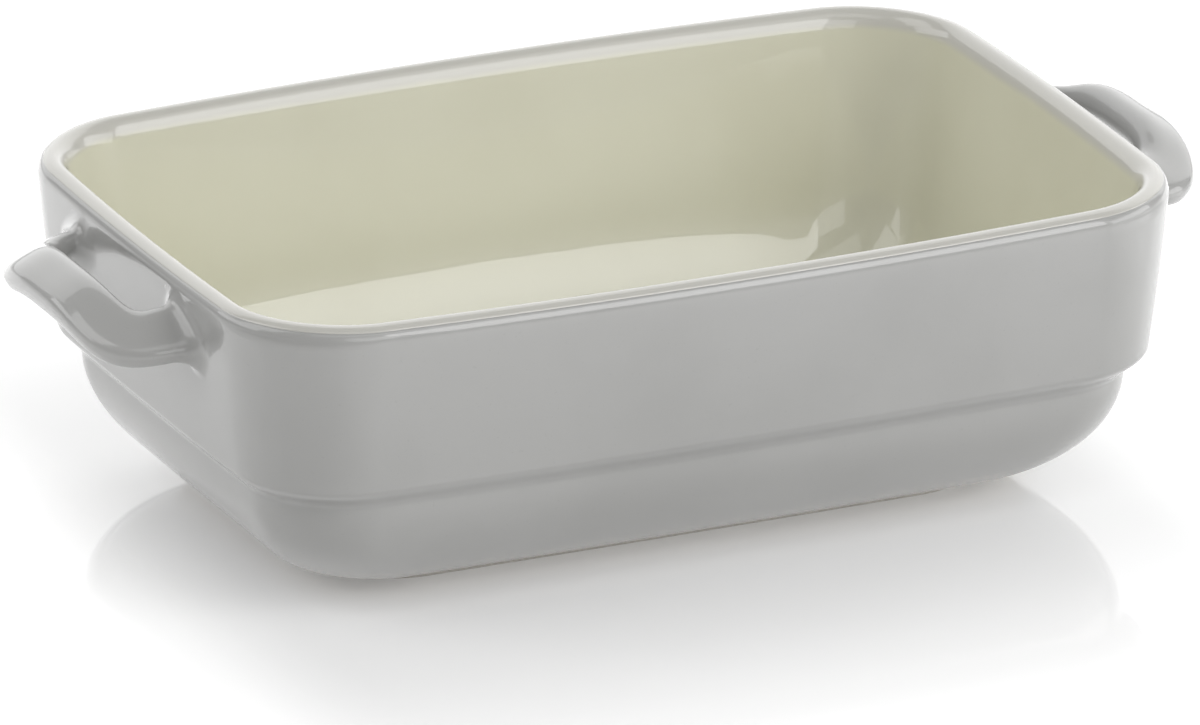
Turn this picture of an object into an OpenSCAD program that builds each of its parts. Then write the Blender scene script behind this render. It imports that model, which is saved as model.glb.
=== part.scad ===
// Rectangular glazed stoneware baking dish with two loop handles.
// Millimetres. X runs along the dish from handle to handle, Y across it, and Z up.
// The origin is the middle of the footprint, on the table.
// The clay walls are one shell. Its outline changes from foot to rim, so it is lofted from rings.

/* [Dish] */
// Length over the rim, without the handles
dish_len = 251; // [215:1:330]
// Width over the rim
dish_wid = 172; // [150:1:240]
// Height from the table to the top of the rim
dish_h = 81.5; // [70:0.5:110]
// Outer corner radius at the rim
rim_corner_r = 29.5; // [24:0.5:38]
// Outer corner radius at the foot
foot_corner_r = 19.5; // [14:0.5:26]
// How far the long sides bow out at the rim
long_bow = 5.6; // [0:0.2:9]
// How far the short sides bow out at the rim
short_bow = 2.4; // [0:0.2:5]
// How far the long sides bow out at the foot
foot_bow = 0.7; // [0:0.1:3]

/* [Wall] */
// Thickness of the wall at the rim, glaze included
wall_t = 7.4; // [6.6:0.1:9]
// Rounding of the rim's outer edge
rim_outer_r = 3.7; // [2.5:0.1:4]
// Height of the rounding on the rim's inner side
rim_inner_h = 5; // [3:0.1:6]
// How far the outer wall leans in from the rim down to the ledge
wall_lean = 4.1; // [2:0.1:6]
// Height of the middle of the ledge that runs round the wall
ledge_z = 35.2; // [33:0.1:39]
// Height over which the ledge steps in
ledge_rise = 7; // [5:0.1:8]
// How far the wall steps in at the ledge
ledge_in = 4.7; // [2:0.1:6]
// How far the belly rounds in under the dish
belly_in = 28.4; // [26:0.2:32]
// How far the inner wall leans in from the rim down to the cove
inner_lean = 7; // [6:0.1:8]
// Height of the cove between the inner wall and the floor
cove_h = 28; // [22:0.5:30]
// How far the cove reaches in over the floor
cove_in = 24; // [18:0.5:26]
// Thickness of the floor, glaze included
floor_t = 7.9; // [7:0.1:9]

/* [Foot] */
// Height of the bare foot ring
foot_h = 3; // [2:0.1:4]
// Width of the foot ring's standing face
foot_w = 7; // [5:0.5:9]
// How far the foot ring stands in from the edge of the flat underside
foot_setback = 0.6; // [0.4:0.1:1.5]

/* [Glaze] */
// Thickness of the glaze coats
glaze_t = 0.5; // [0.3:0.05:0.6]
// Height of the bare clay between the underside and the outer glaze
bare_line_h = 2.4; // [1:0.1:3]

/* [Handles] */
// Reach of the strap's middle line beyond the corners of the short side
handle_reach = 19.6; // [16:0.2:26]
// Distance from the middle of the loop to the strap's middle line at a root
loop_half_w = 32.8; // [30:0.2:38]
// How far the strap's middle line at the tip lies below the rim
tip_below_rim = 10.2; // [10:0.1:14]
// How far the middle line falls from the tip to the roots
root_drop = 2.8; // [1:0.1:6]
// How far the middle line sags below an even fall, half way to the roots
strap_sag = 2.8; // [0:0.1:4]
// Width of the strap at the tip
tip_w = 13.6; // [12:0.2:16]
// Width of the strap at the roots
root_w = 15.4; // [12:0.2:16]
// Thickness of the strap at the tip
tip_t = 9.6; // [7:0.1:11]
// Thickness of the strap at the roots
root_t = 6.4; // [4:0.1:7]
// Slope of the strap's face down and out at the tip, in degrees
tip_slope = 28; // [0:1:40]
// Slope of the strap's face down and out at the roots, in degrees
root_slope = 32; // [25:1:50]
// Radius of the fillet where a root meets the wall
root_fillet = 5; // [3:0.5:6]
// Clearance between a root's face and the curved wall behind it
root_clearance = 0.1; // [0.05:0.05:0.3]

/* [Hidden] */

// Straight pieces in each corner, each long side and each short side of a ring
corner_n = 8;
long_n = 4;
short_n = 4;

// Pieces along each stretch of the wall's profile
bare_n = 3;
belly_n = 7;
ledge_n = 4;
wall_n = 3;
round_n = 2;
inner_rim_n = 3;
cove_n = 6;

// Sections along half a strap, points round a section, and rings in a root's fillet
strap_n = 14;
section_n = 18;
fillet_n = 4;

// The plan of the handle's loop is a superellipse that starts a little inside the wall
loop_power = 0.6;
loop_sink = 3.4;
// Sections lie closer together where the loop turns
spread_power = 1.7;
// A section of the strap is a superellipse with flat faces and tightly rounded edges
section_power = 0.7;

// The corner points of the rim's outline, before the sides bow out
half_len = dish_len / 2 - short_bow;
half_wid = dish_wid / 2 - long_bow;

// The grey glaze starts half way round the rim's outer edge
colour_angle = 45;
// The outer wall's lean grows a little towards the ledge, and the belly is flatter than an ellipse
lean_power = 1.2;
belly_power = 1.08;
// The belly's top lies this far below the ledge
belly_drop = 0.2;

// Heights that the profile passes
wall_top_z = dish_h - rim_outer_r;
ledge_top_z = ledge_z + ledge_rise / 2;
ledge_low_z = ledge_z - ledge_rise / 2;
belly_top_z = ledge_low_z - belly_drop;
floor_z = foot_h + floor_t;
cove_top_z = floor_z + cove_h;

// A quadrant's signs and its first angle, and the count of side pieces after it
quadrant_x_shares = [1, -1, -1, 1];
quadrant_y_shares = [1, 1, -1, -1];
side_counts = [long_n, short_n, long_n, short_n];

function mix(a, b, s) = a + (b - a) * s;
function unit(v) = v / norm(v);
function flipped(list) = [for (i = [len(list) - 1 : -1 : 0]) list[i]];

// Corner radii at a height, outside and inside
function outer_r(z) = mix(foot_corner_r, rim_corner_r, z / dish_h);
function inner_r(z) = outer_r(z) - wall_t * z / dish_h;

// How far the finished outer wall stands in from the rim's outline, at a height
function held(s) = min(1, max(0, s));
function lean_at(z) = wall_lean * pow(held((wall_top_z - z) / (wall_top_z - ledge_top_z)), lean_power);
function ledge_at(z) = ledge_in * (1 - cos(180 * held((ledge_top_z - z) / ledge_rise))) / 2;
function wall_inset(z) = lean_at(z) + ledge_at(z);
belly_start = wall_inset(belly_top_z);

// The belly is a quarter of a superellipse that runs smoothly into the flat underside.
// A row of the profile is its inset, height and corner radius. This is the belly's at an angle.
belly_rise = belly_top_z - foot_h;
function belly_row(a) =
    let (z = belly_top_z - belly_rise * pow(sin(a), belly_power))
    [belly_start + belly_in * (1 - pow(cos(a), belly_power)), z, outer_r(z)];

// The outer glaze ends a little above the underside. Below its end the belly is bare clay.
glaze_end_angle = asin(pow(1 - bare_line_h / belly_rise, 1 / belly_power));
bare_rows = [for (i = [0 : bare_n]) belly_row(mix(90, glaze_end_angle, i / bare_n))];
belly_rows = [for (i = [0 : belly_n]) belly_row(mix(glaze_end_angle, 0, i / belly_n))];
ledge_rows = [for (i = [0 : ledge_n])
    let (z = mix(ledge_low_z, ledge_top_z, i / ledge_n)) [wall_inset(z), z, outer_r(z)]];
wall_rows = [for (i = [1 : wall_n])
    let (z = mix(ledge_top_z, wall_top_z, i / wall_n)) [wall_inset(z), z, outer_r(z)]];
function rim_row(angle) = [
    rim_outer_r * (1 - cos(angle)),
    dish_h - rim_outer_r * (1 - sin(angle)),
    rim_corner_r - rim_outer_r * (1 - cos(angle))];
grey_rim_rows = [for (i = [1 : round_n]) rim_row(colour_angle * i / round_n)];
grey_rows = concat(belly_rows, ledge_rows, wall_rows, grey_rim_rows);

// The inner wall runs smoothly into a curve above it and one below it. A curve is a stretch of
// an ellipse, w wide and h high, from the leaning wall at s = 0 to level at s = 1.
rim_low_z = dish_h - rim_inner_h;
inner_slope = inner_lean / (rim_low_z - cove_top_z);
function inner_turn(w, h, s) =
    let (k = inner_slope * h / w, first = asin(k / (1 - k)), a = mix(first, 90, s))
    [w * (1 - cos(a) / cos(first)), h * (sin(a) - sin(first)) / (1 - sin(first))];

cream_rim_rows = [for (i = [0 : round_n]) rim_row(mix(colour_angle, 90, i / round_n))];
inner_rim_rows = [for (i = [1 : inner_rim_n])
    let (turn = inner_turn(wall_t - rim_outer_r, rim_inner_h, 1 - i / inner_rim_n), inset = wall_t - turn[0])
    [inset, rim_low_z + turn[1], rim_corner_r - inset]];
inner_wall_rows = [for (i = [1 : wall_n])
    let (s = i / wall_n, z = mix(rim_low_z, cove_top_z, s))
    [wall_t + inner_lean * s, z, inner_r(z)]];
cove_rows = [for (i = [1 : cove_n])
    let (turn = inner_turn(cove_in, cove_h, i / cove_n), z = cove_top_z - turn[1])
    [wall_t + inner_lean + turn[0], z, inner_r(z)]];
cream_rows = concat(cream_rim_rows, inner_rim_rows, inner_wall_rows, cove_rows);

// The clay under the glaze: the same rows moved into the wall by the glaze's thickness
all_rows = concat(grey_rows, [for (i = [1 : len(cream_rows) - 1]) cream_rows[i]]);
last_row = len(all_rows) - 1;
join_row = len(grey_rows) - 1;
function row_step(i) = [all_rows[i][0], all_rows[i][1]];
function row_run(i) = unit(row_step(min(i + 1, last_row)) - row_step(max(i - 1, 0)));
// The first row moves level and the last straight down, so both stay in their planes
function into_clay(i) = i == 0 ? [1, 0] : i == last_row ? [0, -1] : [row_run(i)[1], -row_run(i)[0]];
clay_rows = [for (i = [0 : last_row])
    let (d = into_clay(i) * glaze_t)
    [all_rows[i][0] + d[0], all_rows[i][1] + d[1], all_rows[i][2] - d[0]]];
grey_clay_rows = [for (i = [0 : join_row]) clay_rows[i]];
cream_clay_rows = [for (i = [join_row : last_row]) clay_rows[i]];

// One ring of the dish: a rounded rectangle whose sides bow out
function bowed(p, a, b, z) =
    let (up = held(z / wall_top_z), lb = mix(foot_bow, long_bow, up), sb = short_bow * up)
    [p[0] + sb * (p[0] / a) * (1 - pow(p[1] / b, 2)),
     p[1] + lb * (p[1] / b) * (1 - pow(p[0] / a, 2)), z];
function ring(row) =
    let (a = half_len - row[0], b = half_wid - row[0], z = row[1], r = row[2])
    [for (k = [0 : 3])
        let (cx = quadrant_x_shares[k] * (a - r), cy = quadrant_y_shares[k] * (b - r),
             turn = 90 * k, n = side_counts[k], next = (k + 1) % 4,
             from = [cx + r * cos(turn + 90), cy + r * sin(turn + 90)],
             to = [quadrant_x_shares[next] * (a - r) + r * cos(turn + 90),
                   quadrant_y_shares[next] * (b - r) + r * sin(turn + 90)])
        for (i = [0 : corner_n + n - 1])
            let (t = turn + 90 * min(i, corner_n) / corner_n,
                 arc = [cx + r * cos(t), cy + r * sin(t)],
                 side = mix(from, to, max(0, i - corner_n) / n))
            bowed(i <= corner_n ? arc : side, a, b, z)];

// Triangles between two rings. A backed stretch splits its squares the other way,
// so that a coat and the clay under it share the same flat faces.
function band(i, i2, n, backed) = [for (j = [0 : n - 1])
    let (k = (j + 1) % n, a = i * n + j, b = i * n + k, c = i2 * n + k, d = i2 * n + j)
    each (backed ? [[a, d, b], [d, c, b]] : [[a, d, c], [a, c, b]])];

// A solid with a flat cap on its first and last rings
module capped_loft(rings, backed_until = 0) {
    n = len(rings[0]);
    last = len(rings) - 1;
    polyhedron(
        points = [for (r = rings) each r],
        faces = concat(
            [[for (j = [0 : n - 1]) j]],
            [for (i = [0 : last - 1]) each band(i, i + 1, n, i < backed_until)],
            [[for (j = [n - 1 : -1 : 0]) last * n + j]]),
        convexity = 6);
}

// A closed hoop whose last ring joins its first
module hoop_loft(rings, backed_from) {
    n = len(rings[0]);
    count = len(rings);
    polyhedron(
        points = [for (r = rings) each r],
        faces = [for (i = [0 : count - 1])
            each band(i, (i + 1) % count, n, i >= backed_from && i < count - 1)],
        convexity = 6);
}

// The fired clay: underside, walls, rim and floor in one shell
module dish_body() {
    color([0.84, 0.78, 0.69])
        capped_loft([for (row = concat(bare_rows, clay_rows)) ring(row)]);
}

// The bare ring that the dish stands on
foot_inset = belly_start + belly_in + foot_setback;
foot_ring_r = outer_r(foot_h) - foot_setback;
function outline(inset, r) = [for (p = ring([inset, 0, r])) [p[0], p[1]]];
module foot_ring() {
    color([0.87, 0.81, 0.72]) linear_extrude(foot_h) difference() {
        polygon(outline(foot_inset, foot_ring_r));
        polygon(outline(foot_inset + foot_w, foot_ring_r - foot_w));
    }
}

// The cream coat: the cavity and the top of the rim
module inner_glaze() {
    color([0.80, 0.79, 0.68])
        capped_loft(
            [for (row = concat(flipped(cream_clay_rows), cream_rows)) ring(row)],
            backed_until = len(cream_clay_rows) - 1);
}

// The grey coat: the outside, from the rim's edge down to the bare clay line
module outer_glaze() {
    color([0.69, 0.69, 0.68])
        hoop_loft(
            [for (row = concat(grey_rows, flipped(grey_clay_rows))) ring(row)],
            backed_from = len(grey_rows) - 1);
}

// The finished wall's face at a place on a short side
function wall_x(y, z) =
    let (inset = wall_inset(z), b = half_wid - inset, r = outer_r(z),
         over = min(r, max(0, abs(y) - (b - r))))
    half_len - inset - r + sqrt(r * r - over * over)
        + short_bow * z / wall_top_z * (1 - pow(y / b, 2));

// The strap's middle line is a rounded loop, square to the wall at its two roots.
// It goes by an angle, 0 at the tip, and a fall that is 0 at the tip and 1 at a root.
tip_z = dish_h - tip_below_rim;
loop_start_x = half_len - loop_sink;
loop_depth = handle_reach + loop_sink;
function fall(f) = pow(sin(f), 2);
function eased(s) = s * (2 - s);
function strap_z(s) = tip_z - root_drop * s - 4 * strap_sag * s * (1 - s);
function loop_point(f) = [
    loop_start_x + loop_depth * pow(abs(cos(f)), loop_power),
    loop_half_w * sign(f) * pow(abs(sin(f)), loop_power),
    strap_z(fall(f))];
function loop_normal(f) = unit([
    pow(abs(cos(f)), 2 - loop_power) / loop_depth,
    sign(f) * pow(abs(sin(f)), 2 - loop_power) / loop_half_w]);

// The strap ends where its fillet begins
root_x = wall_x(loop_half_w, strap_z(1)) + root_clearance;
end_angle = acos(pow((root_x + root_fillet - loop_start_x) / loop_depth, 1 / loop_power));

// The cosine or sine of an angle, flattened for a section's faces
function flattened(v) = sign(v) * pow(abs(v), section_power);

// A section of the strap: a flattened oval that slopes out
function strap_section(f, grown = 0) =
    let (s = fall(f), slope = mix(tip_slope, root_slope, eased(s)), out = loop_normal(f),
         across = [out[0] * cos(slope), out[1] * cos(slope), -sin(slope)],
         up = [out[0] * sin(slope), out[1] * sin(slope), cos(slope)],
         half_w = mix(tip_w, root_w, eased(s)) / 2 + grown,
         half_t = mix(tip_t, root_t, s) / 2 + grown)
    [for (i = [0 : section_n - 1])
        let (q = -360 * i / section_n)
        loop_point(f) + across * half_w * flattened(cos(q)) + up * half_t * flattened(sin(q))];

// A ring of a root's fillet, at a turn from 0 at the strap to 90 degrees on the wall
function root_section(side, turn) =
    let (f = side * end_angle, plain = strap_section(f),
         grown = strap_section(f, root_fillet * (1 - cos(turn))))
    [for (i = [0 : section_n - 1])
        let (p = plain[i], g = grown[i],
             stand_off = p[0] - wall_x(p[1], p[2]) - root_clearance)
        [wall_x(g[1], g[2]) + root_clearance + stand_off * (1 - sin(turn)), g[1], g[2]]];

// A point on the wall in the middle of a root's face
function root_middle(side) =
    let (p = loop_point(side * end_angle))
    [wall_x(p[1], p[2]) + root_clearance, p[1], p[2]];

module handle_strap() {
    rings = concat(
        [for (k = [0 : fillet_n - 1]) root_section(-1, 90 * (1 - k / fillet_n))],
        [for (k = [-strap_n : strap_n])
            strap_section(end_angle * sign(k) * pow(abs(k) / strap_n, spread_power))],
        [for (k = [1 : fillet_n]) root_section(1, 90 * k / fillet_n)]);
    n = section_n;
    last = len(rings) - 1;
    first_middle = len(rings) * n;
    polyhedron(
        points = concat([for (r = rings) each r], [root_middle(-1), root_middle(1)]),
        faces = concat(
            [for (j = [0 : n - 1]) [first_middle, j, (j + 1) % n]],
            [for (i = [0 : last - 1]) each band(i, i + 1, n, false)],
            [for (j = [0 : n - 1]) [first_middle + 1, last * n + (j + 1) % n, last * n + j]]),
        convexity = 6);
}
module right_handle() {
    color([0.69, 0.69, 0.68]) handle_strap();
}
module left_handle() {
    color([0.69, 0.69, 0.68]) mirror([1, 0, 0]) handle_strap();
}

dish_body();
foot_ring();
left_handle();
right_handle();
inner_glaze();
outer_glaze();
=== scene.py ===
"""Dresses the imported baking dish: its clay, glazes and strap handles, then light, floor and camera."""

import math

import bpy
import numpy as np
from mathutils import Matrix, Vector


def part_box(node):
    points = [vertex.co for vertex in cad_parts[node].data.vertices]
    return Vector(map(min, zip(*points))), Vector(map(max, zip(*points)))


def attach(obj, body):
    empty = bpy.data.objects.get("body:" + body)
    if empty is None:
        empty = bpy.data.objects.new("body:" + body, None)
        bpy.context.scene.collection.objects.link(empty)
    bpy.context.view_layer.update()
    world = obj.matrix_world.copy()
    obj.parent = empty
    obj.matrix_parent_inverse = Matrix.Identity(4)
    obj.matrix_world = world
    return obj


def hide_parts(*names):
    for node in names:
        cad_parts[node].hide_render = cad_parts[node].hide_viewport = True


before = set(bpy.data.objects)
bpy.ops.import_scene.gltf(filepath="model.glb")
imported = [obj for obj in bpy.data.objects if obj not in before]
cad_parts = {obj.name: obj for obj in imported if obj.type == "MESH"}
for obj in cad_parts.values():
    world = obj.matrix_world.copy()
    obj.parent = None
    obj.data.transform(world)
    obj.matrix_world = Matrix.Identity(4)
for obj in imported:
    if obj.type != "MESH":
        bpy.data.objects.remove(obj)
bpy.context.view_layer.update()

MM = 0.001

# Overall sizes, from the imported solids
grey_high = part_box("outer_glaze")[1]
dish_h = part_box("inner_glaze")[1].z
foot_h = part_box("foot_ring")[1].z

# The outline: how far its sides bow out, and its corner radii
LONG_BOW = 5.6 * MM
SHORT_BOW = 2.4 * MM
FOOT_BOW = 0.7 * MM
RIM_CORNER_R = 29.5 * MM
FOOT_CORNER_R = 19.5 * MM
half_len = grey_high.x - SHORT_BOW
half_wid = grey_high.y - LONG_BOW

# The wall's profile, from the belly up to the rim and down the inside
WALL_T = 7.4 * MM
RIM_OUTER_R = 3.7 * MM
RIM_INNER_H = 5.0 * MM
WALL_LEAN = 4.1 * MM
LEAN_POWER = 1.2
LEDGE_Z = 35.2 * MM
LEDGE_RISE = 7.0 * MM
LEDGE_IN = 4.7 * MM
BELLY_TOP_Z = 31.5 * MM
BELLY_IN = 28.4 * MM
BELLY_POWER = 1.08
INNER_LEAN = 7.0 * MM
COVE_H = 28.0 * MM
COVE_IN = 24.0 * MM
FLOOR_T = 7.9 * MM
wall_top_z = dish_h - RIM_OUTER_R
ledge_top_z = LEDGE_Z + LEDGE_RISE / 2
floor_z = foot_h + FLOOR_T
cove_top_z = floor_z + COVE_H
rim_low_z = dish_h - RIM_INNER_H
inner_slope = INNER_LEAN / (rim_low_z - cove_top_z)

# The foot and the glaze coats
FOOT_W = 7.0 * MM
FOOT_SETBACK = 0.6 * MM
FOOT_EDGE_R = 0.3 * MM
FOOT_EDGE_ANGLES = (0, 30, 60, 90)
GLAZE_T = 0.5 * MM
BARE_LINE_H = 2.4 * MM
# The two glazes meet half way round the rim's outer edge, in a fine groove
JOIN_ANGLE = math.radians(45)
GROOVE_ANGLE = math.radians(3.5)
GROOVE_DEPTH = 0.1 * MM

# Steps round a corner and along each side, and along the stretches of the profile
CORNER_STEPS = 20
LONG_STEPS = 30
SHORT_STEPS = 20
BARE_STEPS = 12
BELLY_STEPS = 26
LEDGE_STEPS = 20
WALL_STEPS = 16
ROUND_STEPS = 9
INNER_RIM_STEPS = 18
COVE_STEPS = 30

# The signs of x and y in each quarter of the outline, turning from +X towards +Y
QUARTERS = ((1, 1), (-1, 1), (-1, -1), (1, -1))

# Edges that turn by more than this many degrees are drawn sharp
SHARP_ANGLE = 40


def mix(a, b, share):
    """The number that lies a share of the way from a to b."""
    return a + (b - a) * share


def outer_r(z):
    """The outside's corner radius at a height."""
    return mix(FOOT_CORNER_R, RIM_CORNER_R, z / dish_h)


def inner_r(z):
    """The cavity's corner radius at a height."""
    return outer_r(z) - WALL_T * z / dish_h


def ring(inset, z, r):
    """One ring round the dish: a rounded rectangle whose sides bow out, from +X towards +Y."""
    a = half_len - inset
    b = half_wid - inset
    points = []
    for quarter, (sx, sy) in enumerate(QUARTERS):
        next_sx, next_sy = QUARTERS[(quarter + 1) % 4]
        steps = (LONG_STEPS, SHORT_STEPS)[quarter % 2]
        turns = np.radians(90 * (quarter + np.arange(CORNER_STEPS + 1) / CORNER_STEPS))
        points += [(sx * (a - r) + r * math.cos(t), sy * (b - r) + r * math.sin(t)) for t in turns]
        start = points[-1]
        end = (next_sx * (a - r) + r * math.cos(turns[-1]),
               next_sy * (b - r) + r * math.sin(turns[-1]))
        points += [(mix(start[0], end[0], k / steps), mix(start[1], end[1], k / steps))
                   for k in range(1, steps)]
    x, y = np.array(points).T
    long_bow = mix(FOOT_BOW, LONG_BOW, min(1, z / wall_top_z))
    short_bow = SHORT_BOW * min(1, z / wall_top_z)
    bowed_x = x + short_bow * (x / a) * (1 - (y / b) ** 2)
    bowed_y = y + long_bow * (y / b) * (1 - (x / a) ** 2)
    return np.column_stack([bowed_x, bowed_y, np.full_like(x, z)])


def wall_inset(z):
    """How far the finished outer wall stands in from the rim's outline at a height."""
    lean = WALL_LEAN * np.clip((wall_top_z - z) / (wall_top_z - ledge_top_z), 0, 1) ** LEAN_POWER
    ledge = LEDGE_IN * (1 - math.cos(math.pi * np.clip((ledge_top_z - z) / LEDGE_RISE, 0, 1))) / 2
    return lean + ledge


def belly_row(turn):
    """A row of the rounded belly: inset, height and corner radius, at an angle from 0 at its top
    to a quarter turn at the flat underside."""
    inset = wall_inset(BELLY_TOP_Z) + BELLY_IN * (1 - abs(math.cos(turn)) ** BELLY_POWER)
    z = BELLY_TOP_Z - (BELLY_TOP_Z - foot_h) * math.sin(turn) ** BELLY_POWER
    return (inset, z, outer_r(z))


# The outer glaze ends at this angle of the belly, and the clay below it is bare
glaze_end_turn = math.asin((1 - BARE_LINE_H / (BELLY_TOP_Z - foot_h)) ** (1 / BELLY_POWER))


def rim_row(turn, depth=0.0):
    """A row of the rim's outer edge, at an angle above level, sunk into the rim by a depth."""
    inset = RIM_OUTER_R - (RIM_OUTER_R - depth) * math.cos(turn)
    return (inset, wall_top_z + (RIM_OUTER_R - depth) * math.sin(turn), RIM_CORNER_R - inset)


def inner_turn(width, height, steps):
    """How the leaning inner wall runs smoothly into a level face: steps inward from the wall's end,
    and beyond it."""
    k = inner_slope * height / width
    first = math.asin(k / (1 - k))
    turns = np.linspace(first, math.pi / 2, steps)
    inward = width * (1 - np.cos(turns) / math.cos(first))
    beyond = height * (np.sin(turns) - math.sin(first)) / (1 - math.sin(first))
    return list(zip(inward, beyond))


def grey_rows():
    """The grey coat's face: belly, ledge, wall and the rim's outer edge."""
    rows = [belly_row(turn) for turn in np.linspace(glaze_end_turn, 0, BELLY_STEPS, endpoint=False)]
    for z in np.linspace(BELLY_TOP_Z, ledge_top_z, LEDGE_STEPS, endpoint=False):
        rows.append((wall_inset(z), z, outer_r(z)))
    for z in np.linspace(ledge_top_z, wall_top_z, WALL_STEPS):
        rows.append((wall_inset(z), z, outer_r(z)))
    for turn in np.linspace(0, JOIN_ANGLE - GROOVE_ANGLE, ROUND_STEPS)[1:]:
        rows.append(rim_row(turn))
    rows.append(rim_row(JOIN_ANGLE, GROOVE_DEPTH))
    return rows


def cream_rows():
    """The cream coat's face: over the rim, down the inner wall and round the cove to the floor."""
    rows = [rim_row(JOIN_ANGLE, GROOVE_DEPTH)]
    for turn in np.linspace(JOIN_ANGLE + GROOVE_ANGLE, math.pi / 2, ROUND_STEPS):
        rows.append(rim_row(turn))
    rounding = inner_turn(WALL_T - RIM_OUTER_R, RIM_INNER_H, INNER_RIM_STEPS)
    for inward, beyond in reversed(rounding[:-1]):
        inset = WALL_T - inward
        rows.append((inset, rim_low_z + beyond, RIM_CORNER_R - inset))
    for share in np.linspace(0, 1, WALL_STEPS)[1:]:
        z = mix(rim_low_z, cove_top_z, share)
        rows.append((WALL_T + INNER_LEAN * share, z, inner_r(z)))
    for inward, beyond in inner_turn(COVE_IN, COVE_H, COVE_STEPS)[1:]:
        z = cove_top_z - beyond
        rows.append((WALL_T + INNER_LEAN + inward, z, inner_r(z)))
    return rows


def foot_rows(base_inset, base_r):
    """The foot ring's section, set back from the base's edge: down its inner side and up its outer."""
    outer = base_inset + FOOT_SETBACK
    inner = outer + FOOT_W
    edge = [(FOOT_EDGE_R * (1 - math.cos(t)), FOOT_EDGE_R * (1 - math.sin(t)))
            for t in np.radians(FOOT_EDGE_ANGLES)]
    corners = [(outer, foot_h)]
    corners += [(outer + inward, up) for inward, up in edge]
    corners += [(inner - inward, up) for inward, up in reversed(edge)]
    corners += [(inner, foot_h)]
    return [(inset, z, base_r - FOOT_SETBACK - (inset - outer)) for inset, z in reversed(corners)]


def under(rows, first=None, last=None):
    """The same rows moved into the clay by the glaze's thickness. The first and the last row may be
    given their own way in."""
    points = np.array([row[:2] for row in rows])
    run = np.gradient(points, axis=0)
    run /= np.linalg.norm(run, axis=1)[:, None]
    inward = np.column_stack([run[:, 1], -run[:, 0]])
    inward[0] = first if first is not None else inward[0]
    inward[-1] = last if last is not None else inward[-1]
    return [(row[0] + d[0], row[1] + d[1], row[2] - d[0]) for row, d in zip(rows, inward * GLAZE_T)]


def solid(name, points, faces):
    """A mesh object from points and faces, shaded smooth but for its sharp edges."""
    mesh = bpy.data.meshes.new(name)
    mesh.from_pydata([tuple(p) for p in points], [], faces)
    mesh.shade_smooth()
    mesh.set_sharp_from_angle(angle=math.radians(SHARP_ANGLE))
    thing = bpy.data.objects.new(name, mesh)
    bpy.context.scene.collection.objects.link(thing)
    return thing


def band(i, i2, n):
    """The faces between two rings of n points."""
    return [(i * n + j, i * n + (j + 1) % n, i2 * n + (j + 1) % n, i2 * n + j) for j in range(n)]


def capped_loft(name, rows):
    """A solid that follows the rows' rings, with a flat cap on the first and the last."""
    rings = [ring(*row) for row in rows]
    n = len(rings[0])
    last = len(rings) - 1
    faces = [tuple(range(n - 1, -1, -1)), tuple(last * n + j for j in range(n))]
    for i in range(last):
        faces += band(i, i + 1, n)
    return solid(name, np.concatenate(rings), faces)


def hoop_loft(name, rows):
    """A closed hoop that follows the rows' rings and joins its last ring to its first."""
    rings = [ring(*row) for row in rows]
    n = len(rings[0])
    faces = []
    for i in range(len(rings)):
        faces += band(i, (i + 1) % len(rings), n)
    return solid(name, np.concatenate(rings), faces)


# The strap handles' sizes, which are the inputs of their node tree
STRAP_SIZES = {
    "Reach": 19.5 * MM,
    "Sink": 3.4 * MM,
    "Half width": 32.8 * MM,
    "Tip height": dish_h - 10.2 * MM,
    "Root drop": 2.8 * MM,
    "Sag": 2.8 * MM,
    "Tip width": 13.6 * MM,
    "Root width": 15.4 * MM,
    "Tip thickness": 9.6 * MM,
    "Root thickness": 6.4 * MM,
    "Tip slope": math.radians(28),
    "Root slope": math.radians(32),
    "Fillet": 5.0 * MM,
    "Wall half length": half_len,
    "Wall half width": half_wid,
    "Wall bow": SHORT_BOW,
    "Wall lean": WALL_LEAN,
    "Wall top": wall_top_z,
    "Rim radius": RIM_OUTER_R,
    "Ledge top": ledge_top_z,
    "Turn": 1.0,
}

# How square the strap's loop and its section are, and how its rings are spread
LOOP_POWER = 0.6
SECTION_POWER = 0.7
SPREAD_POWER = 1.7
# The rings of half a strap, those in a root's fillet, and the skirt, plug and closing ring past it
HALF_RINGS = 80
FILLET_RINGS = 18
END_RINGS = 3
SECTION_POINTS = 56
SKIRT_GROWTH = 1.0 * MM
SKIRT_DEPTH = 0.03 * MM
PLUG_DEPTH = 0.4 * MM
MERGE_DISTANCE = 0.001 * MM


class Number:
    """The number in a node's socket, so that the sums of a node tree read as arithmetic."""

    def __init__(self, socket):
        self.socket = socket

    __add__ = lambda a, b: calc("ADD", a, b)
    __radd__ = lambda a, b: calc("ADD", b, a)
    __sub__ = lambda a, b: calc("SUBTRACT", a, b)
    __rsub__ = lambda a, b: calc("SUBTRACT", b, a)
    __mul__ = lambda a, b: calc("MULTIPLY", a, b)
    __rmul__ = lambda a, b: calc("MULTIPLY", b, a)
    __truediv__ = lambda a, b: calc("DIVIDE", a, b)
    __pow__ = lambda a, b: calc("POWER", a, b)


def calc(operation, *values):
    """A math node in the tree that the numbers belong to."""
    tree = next(v.socket.id_data for v in values if isinstance(v, Number))
    node = tree.nodes.new("ShaderNodeMath")
    node.operation = operation
    for socket, value in zip(node.inputs, values):
        if isinstance(value, Number):
            tree.links.new(value.socket, socket)
        else:
            socket.default_value = value
    return Number(node.outputs[0])


def held(value):
    """The number kept between 0 and 1."""
    return calc("MINIMUM", calc("MAXIMUM", value, 0.0), 1.0)


def flattened(value):
    """A cosine or a sine, drawn out so that the strap's section has flat faces and tight edges."""
    return calc("SIGN", value) * calc("ABSOLUTE", value) ** SECTION_POWER


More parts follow.
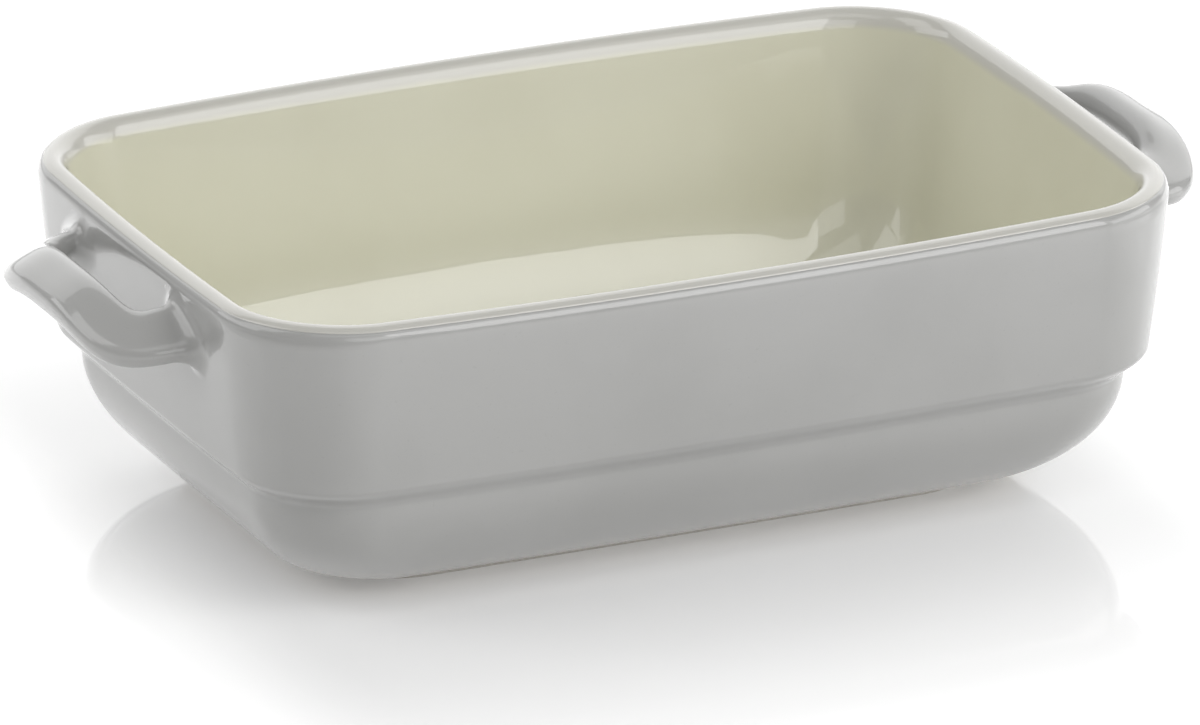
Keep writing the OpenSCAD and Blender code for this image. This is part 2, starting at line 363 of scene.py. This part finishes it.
def strap_tree(finish):
    """A geometry node tree for a strap that loops from the wall and back, with a filleted root at
    each end."""
    tree = bpy.data.node_groups.new("strap handle", "GeometryNodeTree")
    for name, value in STRAP_SIZES.items():
        entry = tree.interface.new_socket(name, in_out="INPUT", socket_type="NodeSocketFloat")
        entry.default_value = value
    tree.interface.new_socket("Strap", in_out="OUTPUT", socket_type="NodeSocketGeometry")
    inputs = tree.nodes.new("NodeGroupInput")
    size = {name: Number(inputs.outputs[name]) for name in STRAP_SIZES}

    # A flat sheet that is wrapped into the strap: X runs along it from -1 to 1, and Y once round it
    sheet = tree.nodes.new("GeometryNodeMeshGrid")
    sheet.inputs["Size X"].default_value = 2.0
    sheet.inputs["Size Y"].default_value = 1.0
    sheet.inputs["Vertices X"].default_value = 2 * HALF_RINGS + 1
    sheet.inputs["Vertices Y"].default_value = SECTION_POINTS + 1
    place = tree.nodes.new("ShaderNodeSeparateXYZ")
    tree.links.new(tree.nodes.new("GeometryNodeInputPosition").outputs[0], place.inputs[0])
    along = Number(place.outputs["X"])
    round_share = Number(place.outputs["Y"])

    # The rings from the tip to a root: strap, fillet, a skirt just under the wall's face, a plug in
    # the glaze, and the ring that closes it
    side = calc("GREATER_THAN", along, 0.0) * 2.0 - 1.0
    index = calc("ABSOLUTE", along) * HALF_RINGS
    strap_rings = HALF_RINGS - END_RINGS - FILLET_RINGS
    turn = held((index - strap_rings) / FILLET_RINGS) * (math.pi / 2)
    skirt = held(index - (strap_rings + FILLET_RINGS))
    plug = held(index - (strap_rings + FILLET_RINGS + 1))
    closing = held(index - (strap_rings + FILLET_RINGS + 2))

    # The middle line is a superellipse that starts a little inside the wall
    depth = size["Reach"] + size["Sink"]
    start_x = size["Wall half length"] - size["Sink"]

    def wall_x(y, z):
        """How far out the short wall stands there, with its lean, the rim's rounding and its bow."""
        below = held((size["Wall top"] - z) / (size["Wall top"] - size["Ledge top"]))
        above = held((z - size["Wall top"]) / size["Rim radius"])
        inset = (size["Wall lean"] * below ** LEAN_POWER
                 + size["Rim radius"] * (1.0 - calc("SQRT", 1.0 - above * above)))
        across = y / (size["Wall half width"] - inset)
        return (size["Wall half length"] - inset
                + size["Wall bow"] * held(z / size["Wall top"]) * (1.0 - across * across))

    root_x = wall_x(size["Half width"], size["Tip height"] - size["Root drop"])
    end_angle = calc("ARCCOSINE", ((root_x + size["Fillet"] - start_x) / depth) ** (1 / LOOP_POWER))
    angle = end_angle * held(index / strap_rings) ** SPREAD_POWER
    cosine = calc("COSINE", angle)
    sine = calc("SINE", angle)
    fall = sine * sine
    eased = fall * (2.0 - fall)
    middle_x = start_x + depth * cosine ** LOOP_POWER
    middle_y = size["Half width"] * sine ** LOOP_POWER
    middle_z = size["Tip height"] - size["Root drop"] * fall - 4.0 * size["Sag"] * fall * (1.0 - fall)

    # The outward normal of the loop's plan, the slope of the strap's face and the section's size
    out_x = cosine ** (2 - LOOP_POWER) / depth
    out_y = sine ** (2 - LOOP_POWER) / size["Half width"]
    length = calc("SQRT", out_x * out_x + out_y * out_y)
    slope = size["Tip slope"] + (size["Root slope"] - size["Tip slope"]) * eased
    slope_cos = calc("COSINE", slope)
    slope_sin = calc("SINE", slope)
    half_w = (size["Tip width"] + (size["Root width"] - size["Tip width"]) * eased) / 2.0
    half_t = (size["Tip thickness"] + (size["Root thickness"] - size["Tip thickness"]) * fall) / 2.0
    q = round_share * (2 * math.pi)
    q_cos = flattened(calc("COSINE", q))
    q_sin = flattened(calc("SINE", q))

    def section(grown):
        """A point of the section, with the section grown all round by a length."""
        width = (half_w + grown) * q_cos
        rise = (half_t + grown) * q_sin
        outward = slope_cos * width + slope_sin * rise
        return (middle_x + out_x / length * outward,
                middle_y + out_y / length * outward,
                middle_z + slope_cos * rise - slope_sin * width)

    growth = size["Fillet"] * (1.0 - calc("COSINE", turn)) + skirt * SKIRT_GROWTH
    plain_x, plain_y, plain_z = section(0.0)
    grown_x, grown_y, grown_z = section(growth)
    stand_off = (plain_x - wall_x(plain_y, plain_z)) * (1.0 - calc("SINE", turn))
    sunk = skirt * SKIRT_DEPTH + plug * PLUG_DEPTH
    x = wall_x(grown_y, grown_z) + stand_off - sunk
    x = x + (root_x - PLUG_DEPTH - x) * closing
    y = grown_y + (middle_y - grown_y) * closing
    z = grown_z + (middle_z - grown_z) * closing

    point = tree.nodes.new("ShaderNodeCombineXYZ")
    for socket, value in zip(point.inputs, (x * size["Turn"], y * side * size["Turn"], z)):
        tree.links.new(value.socket, socket)
    placed = tree.nodes.new("GeometryNodeSetPosition")
    tree.links.new(sheet.outputs["Mesh"], placed.inputs["Geometry"])
    tree.links.new(point.outputs[0], placed.inputs["Position"])
    merged = tree.nodes.new("GeometryNodeMergeByDistance")
    merged.inputs["Distance"].default_value = MERGE_DISTANCE
    smooth = tree.nodes.new("GeometryNodeSetShadeSmooth")
    real = tree.nodes.new("GeometryNodeRealizeInstances")
    finished = tree.nodes.new("GeometryNodeSetMaterial")
    finished.inputs["Material"].default_value = finish
    output = tree.nodes.new("NodeGroupOutput")
    chain = [placed, merged, smooth, real, finished, output]
    for before, after in zip(chain, chain[1:]):
        tree.links.new(before.outputs[0], after.inputs[0])
    return tree


def made_by(tree, name, **sizes):
    """A plain mesh object made by a node tree, with some of its inputs set."""
    maker = bpy.data.objects.new(name + " maker", bpy.data.meshes.new(name + " maker"))
    bpy.context.scene.collection.objects.link(maker)
    modifier = maker.modifiers.new("maker", "NODES")
    modifier.node_group = tree
    sockets = {item.name: item.identifier
               for item in tree.interface.items_tree if item.in_out == "INPUT"}
    for key, value in sizes.items():
        modifier[sockets[key]] = value
    graph = bpy.context.evaluated_depsgraph_get()
    mesh = bpy.data.meshes.new_from_object(maker.evaluated_get(graph))
    bpy.data.objects.remove(maker)
    mesh.name = name
    made = bpy.data.objects.new(name, mesh)
    bpy.context.scene.collection.objects.link(made)
    return made


def principled_material(name):
    """A principled material, with its shader and the socket of the place on the object."""
    material = bpy.data.materials.new(name)
    material.use_nodes = True
    shader = material.node_tree.nodes["Principled BSDF"]
    place = material.node_tree.nodes.new("ShaderNodeTexCoord").outputs["Object"]
    return material, shader, place


def noise(place, scale, detail=2.0, roughness=0.5):
    """A noise texture's value at a place. Scale is in waves to a metre."""
    tree = place.id_data
    node = tree.nodes.new("ShaderNodeTexNoise")
    node.inputs["Scale"].default_value = scale
    node.inputs["Detail"].default_value = detail
    node.inputs["Roughness"].default_value = roughness
    tree.links.new(place, node.inputs["Vector"])
    return Number(node.outputs["Fac"])


def eased_between(value, low, high):
    """0 below low, 1 above high, and an even curve between."""
    tree = value.socket.id_data
    node = tree.nodes.new("ShaderNodeMapRange")
    node.interpolation_type = "SMOOTHSTEP"
    node.inputs["From Min"].default_value = low
    node.inputs["From Max"].default_value = high
    tree.links.new(value.socket, node.inputs["Value"])
    return Number(node.outputs["Result"])


def colour_mix(share, first, second):
    """A mix of two colours. Each is a linear colour or another mix's socket."""
    tree = share.socket.id_data
    node = tree.nodes.new("ShaderNodeMix")
    node.data_type = "RGBA"
    tree.links.new(share.socket, node.inputs["Factor"])
    for socket, colour in ((node.inputs[6], first), (node.inputs[7], second)):
        if isinstance(colour, bpy.types.NodeSocket):
            tree.links.new(colour, socket)
        else:
            socket.default_value = (*colour, 1.0)
    return node.outputs[2]


def bumped(height, depth):
    """A bump normal from a height between 0 and 1, where 1 stands for the depth in metres."""
    tree = height.socket.id_data
    node = tree.nodes.new("ShaderNodeBump")
    node.inputs["Strength"].default_value = 1.0
    node.inputs["Distance"].default_value = depth
    tree.links.new(height.socket, node.inputs["Height"])
    return node.outputs["Normal"]


def height_of(place):
    """The height of a place over the table."""
    split = place.id_data.nodes.new("ShaderNodeSeparateXYZ")
    place.id_data.links.new(place, split.inputs[0])
    return Number(split.outputs["Z"])


# Colours in linear light. Each glaze drifts between two, and the cream thins to white over the rim.
GREY = (0.402, 0.401, 0.391)
GREY_DEEP = (0.378, 0.377, 0.367)
GREY_SPECK = (0.33, 0.325, 0.315)
CREAM = (0.675, 0.666, 0.538)
CREAM_DEEP = (0.645, 0.634, 0.504)
RIM_WHITE = (0.550, 0.540, 0.497)
CLAY = (0.72, 0.69, 0.64)
CLAY_DARK = (0.63, 0.60, 0.545)
GROUND = (0.80, 0.77, 0.725)

# The noise in each finish, with its scale in waves to a metre, and the range of it that is used
GREY_DRIFT = {"scale": 22.0, "detail": 3.0}
CREAM_DRIFT = {"scale": 18.0, "detail": 3.0}
DRIFT_RANGE = (0.35, 0.65)
SPECKS = {"scale": 1500.0, "detail": 1.0}
SPECK_RANGE = (0.70, 0.76)
SPECK_STRENGTH = 0.35
CLAY_GRAIN = {"scale": 900.0, "detail": 4.0, "roughness": 0.65}
GRAIN_RANGE = (0.35, 0.7)

# The unevenness of the glazes' skin and of the bare clay
GREY_WAVES = {"scale": 55.0, "detail": 1.5}
CREAM_WAVES = {"scale": 50.0, "detail": 1.5}
WAVE_DEPTH = 0.06 * MM
CLAY_GRIT = {"scale": 1600.0, "detail": 3.0}
GRIT_DEPTH = 0.08 * MM

# The white of the rim starts this far below the rim's top, wanders, and is full this far below it
WHITE_STARTS = 4.6 * MM
WHITE_FULL = 2.4 * MM
WHITE_WANDER = {"scale": 60.0, "detail": 2.0}
WANDER_REACH = 0.8 * MM

# The glaze's body is soft, and a clear skin over it mirrors sharply. The bare clay is matt.
GLAZE_ROUGHNESS = 0.32
GLAZE_IOR = 1.5
SKIN_ROUGHNESS = 0.018
SKIN_IOR = 1.52
CLAY_ROUGHNESS = 0.85
GROUND_ROUGHNESS = 0.75


def gloss(shader, skin):
    """A clear glass skin over the colour, as fired glaze has."""
    shader.inputs["Roughness"].default_value = GLAZE_ROUGHNESS
    shader.inputs["IOR"].default_value = GLAZE_IOR
    shader.inputs["Coat Weight"].default_value = 1.0
    shader.inputs["Coat Roughness"].default_value = SKIN_ROUGHNESS
    shader.inputs["Coat IOR"].default_value = SKIN_IOR
    shader.id_data.links.new(skin, shader.inputs["Coat Normal"])


def grey_glaze():
    """The glaze of the outside and the handles: a warm grey that drifts a little, faintly specked."""
    material, shader, place = principled_material("grey glaze")
    drift = eased_between(noise(place, **GREY_DRIFT), *DRIFT_RANGE)
    specks = eased_between(noise(place, **SPECKS), *SPECK_RANGE) * SPECK_STRENGTH
    toned = colour_mix(drift, GREY_DEEP, GREY)
    colour = colour_mix(specks, toned, GREY_SPECK)
    material.node_tree.links.new(colour, shader.inputs["Base Color"])
    gloss(shader, bumped(noise(place, **GREY_WAVES), WAVE_DEPTH))
    return material


def cream_glaze():
    """The glaze of the inside: a cream that drifts a little, and turns white over the rim."""
    material, shader, place = principled_material("cream glaze")
    wander = noise(place, **WHITE_WANDER) * WANDER_REACH
    thin = eased_between(height_of(place) + wander, dish_h - WHITE_STARTS, dish_h - WHITE_FULL)
    drift = eased_between(noise(place, **CREAM_DRIFT), *DRIFT_RANGE)
    toned = colour_mix(drift, CREAM_DEEP, CREAM)
    colour = colour_mix(thin, toned, RIM_WHITE)
    material.node_tree.links.new(colour, shader.inputs["Base Color"])
    gloss(shader, bumped(noise(place, **CREAM_WAVES), WAVE_DEPTH))
    return material


def bare_clay(name, colour, dark, roughness):
    """Fired clay without glaze: matt and grained, between two colours."""
    material, shader, place = principled_material(name)
    links = material.node_tree.links
    grain = eased_between(noise(place, **CLAY_GRAIN), *GRAIN_RANGE)
    links.new(colour_mix(grain, dark, colour), shader.inputs["Base Color"])
    links.new(bumped(noise(place, **CLAY_GRIT), GRIT_DEPTH), shader.inputs["Normal"])
    shader.inputs["Roughness"].default_value = roughness
    return material


def dress(piece, finish, slot, *nodes):
    """Gives a piece its material and its body, and hides the CAD nodes that it stands for. The slot is
    not used.
    """
    piece.data.materials.clear()
    piece.data.materials.append(finish)
    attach(piece, "root")
    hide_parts(*nodes)


def make_dish():
    """The six pieces of the dish, each in its finish."""
    grey = grey_glaze()
    cream = cream_glaze()
    clay = bare_clay("fired clay", CLAY, CLAY_DARK, CLAY_ROUGHNESS)
    ground = bare_clay("ground clay", GROUND, CLAY, GROUND_ROUGHNESS)

    grey_face = grey_rows()
    grey_back = under(grey_face, first=(1.0, 0.0))
    cream_face = cream_rows()
    cream_back = under(cream_face, last=(0.0, -1.0))
    cream_back[0] = grey_back[-1]

    coat = hoop_loft("grey_coat", grey_face + grey_back[::-1])
    dress(coat, grey, "grey_glaze", "outer_glaze")
    lining = capped_loft("cream_lining", cream_back[::-1] + cream_face)
    dress(lining, cream, "cream_glaze", "inner_glaze")

    bare_face = [belly_row(turn) for turn in np.linspace(math.pi / 2, glaze_end_turn, BARE_STEPS)]
    shell = capped_loft("clay_shell", bare_face + grey_back + cream_back[1:])
    dress(shell, clay, "fired_clay", "dish_body")

    base_inset, _, base_r = bare_face[0]
    foot = hoop_loft("standing_ring", foot_rows(base_inset, base_r))
    dress(foot, ground, "ground_clay", "foot_ring")

    tree = strap_tree(grey)
    for name, node, turn in (("right_strap", "right_handle", 1.0), ("left_strap", "left_handle", -1.0)):
        dress(made_by(tree, name, Turn=turn), grey, "grey_glaze", node)


# The floor reaches far past the view
FLOOR_WHITE = 0.9
FLOOR_SIZE = 24.0
FLOOR_ROUGHNESS = 0.03
FLOOR_IOR = 1.5
# The floor's own light, in the camera's eye and in mirrored light only: near the dish and further
# out, and over what length it grows from the one to the other
GLOW_NEAR = 0.15
GLOW_FAR = 0.42
GLOW_REACH = 160.0 * MM
# To the camera it grows from these lengths from the dish's middle on, and faster past the dish's
# ends than beside it. As the glaze mirrors it, it grows evenly from the dish's outline on.
GLOW_START = (105.0 * MM, 80.0 * MM)
GLOW_END_HASTE = 3.0


def make_floor():
    """A plain white floor that mirrors the dish faintly, and turns pure white away from it."""
    half = FLOOR_SIZE / 2
    corners = [(-half, -half, 0), (half, -half, 0), (half, half, 0), (-half, half, 0)]
    floor = solid("floor", corners, [(0, 1, 2, 3)])
    material, shader, place = principled_material("white floor")
    shader.inputs["Base Color"].default_value = (FLOOR_WHITE, FLOOR_WHITE, FLOOR_WHITE, 1.0)
    shader.inputs["Roughness"].default_value = FLOOR_ROUGHNESS
    shader.inputs["IOR"].default_value = FLOOR_IOR
    tree = material.node_tree
    split = tree.nodes.new("ShaderNodeSeparateXYZ")
    tree.links.new(place, split.inputs[0])

    def glow_from(start_x, start_y, haste):
        """The glow's strength at the place, where it starts to grow past these lengths."""
        past_x = calc("MAXIMUM", calc("ABSOLUTE", Number(split.outputs["X"])) - start_x, 0.0)
        past_x = past_x * haste
        past_y = calc("MAXIMUM", calc("ABSOLUTE", Number(split.outputs["Y"])) - start_y, 0.0)
        away = eased_between(calc("SQRT", past_x * past_x + past_y * past_y), 0.0, GLOW_REACH)
        return away * (GLOW_FAR - GLOW_NEAR) + GLOW_NEAR

    ray = tree.nodes.new("ShaderNodeLightPath")
    strength = (Number(ray.outputs["Is Camera Ray"]) * glow_from(*GLOW_START, GLOW_END_HASTE)
                + Number(ray.outputs["Is Glossy Ray"]) * glow_from(half_len, half_wid, 1.0))
    glow = tree.nodes.new("ShaderNodeEmission")
    tree.links.new(strength.socket, glow.inputs["Strength"])
    both = tree.nodes.new("ShaderNodeAddShader")
    tree.links.new(shader.outputs[0], both.inputs[0])
    tree.links.new(glow.outputs[0], both.inputs[1])
    tree.links.new(both.outputs[0], tree.nodes["Material Output"].inputs["Surface"])
    floor.data.materials.append(material)


# Each soft panel's first and last azimuth, first and last elevation, distance and radiance. The
# angles are in degrees, with azimuth 0 in front of the dish and 90 on its right.
PANELS = {
    "front_right": (12, 43, 12, 43, 1.8, 3.2),
    "front_high": (-55, 45, 50, 67, 1.8, 0.9),
    "right_low": (46, 90, 2, 24, 1.8, 2.1),
    "left_low": (-142, -92, 12, 28, 1.8, 1.7),
    "left_high": (-120, -80, 28, 56, 1.8, 1.5),
    "behind": (105, 212, 2, 58, 2.4, 1.05),
    "front_low": (-24, 12, 12, 36, 1.8, 1.3),
}
PANEL_TARGET = (0.0, 0.0, 40.0 * MM)
AMBIENT = 0.35


def direction(azimuth, elevation):
    """The unit vector towards an azimuth and an elevation, in degrees, from the dish."""
    a, e = math.radians(azimuth), math.radians(elevation)
    return Vector((math.sin(a) * math.cos(e), -math.cos(a) * math.cos(e), math.sin(e)))


def make_panel(name, az_low, az_high, el_low, el_high, distance, radiance):
    """A rectangular lamp that faces the dish and fills a window of its sky."""
    elevation = (el_low + el_high) / 2
    lamp = bpy.data.lights.new(name, "AREA")
    lamp.shape = "RECTANGLE"
    across = distance * math.cos(math.radians(elevation))
    lamp.size = 2 * across * math.tan(math.radians(az_high - az_low) / 2)
    lamp.size_y = 2 * distance * math.tan(math.radians(el_high - el_low) / 2)
    lamp.energy = radiance * math.pi * lamp.size * lamp.size_y
    holder = bpy.data.objects.new(name, lamp)
    away = direction((az_low + az_high) / 2, elevation)
    holder.location = Vector(PANEL_TARGET) + away * distance
    holder.rotation_euler = away.to_track_quat("Z", "Y").to_euler()
    holder.visible_camera = False
    bpy.context.scene.collection.objects.link(holder)


def make_light():
    """The soft panels, and a level white light from everywhere."""
    for name, window in PANELS.items():
        make_panel(name, *window)
    world = bpy.data.worlds.new("studio")
    world.use_nodes = True
    sky = world.node_tree.nodes["Background"]
    sky.inputs["Color"].default_value = (1.0, 1.0, 1.0, 1.0)
    sky.inputs["Strength"].default_value = AMBIENT
    bpy.context.scene.world = world


# The camera, from the photograph's perspective: a long lens in front and to the left, looking down
CAMERA_AZIMUTH = -24.71
CAMERA_ELEVATION = 20.72
CAMERA_ROLL = 0.16
CAMERA_DISTANCE = 4.906
CAMERA_TARGET = (-0.01847, -0.03895, 0.04616)
CAMERA_LENS = 612.1
CAMERA_REACH = 100.0
SENSOR_WIDTH = 36.0


def make_camera():
    """The camera, turned to its target and rolled a little round its line of sight."""
    away = direction(CAMERA_AZIMUTH, CAMERA_ELEVATION)
    level = direction(CAMERA_AZIMUTH + 90, 0)
    turn = Matrix.Rotation(math.radians(CAMERA_ROLL), 3, away)
    facing = turn @ Matrix((level, away.cross(level), away)).transposed()
    camera = bpy.data.cameras.new("camera")
    camera.sensor_width = SENSOR_WIDTH
    camera.lens = CAMERA_LENS
    camera.clip_end = CAMERA_REACH
    holder = bpy.data.objects.new("camera", camera)
    place = Vector(CAMERA_TARGET) + away * CAMERA_DISTANCE
    holder.matrix_world = Matrix.Translation(place) @ facing.to_4x4()
    bpy.context.scene.collection.objects.link(holder)
    bpy.context.scene.camera = holder


make_camera()
make_dish()
make_floor()
make_light()
bpy.context.scene.view_settings.view_transform = "Standard"
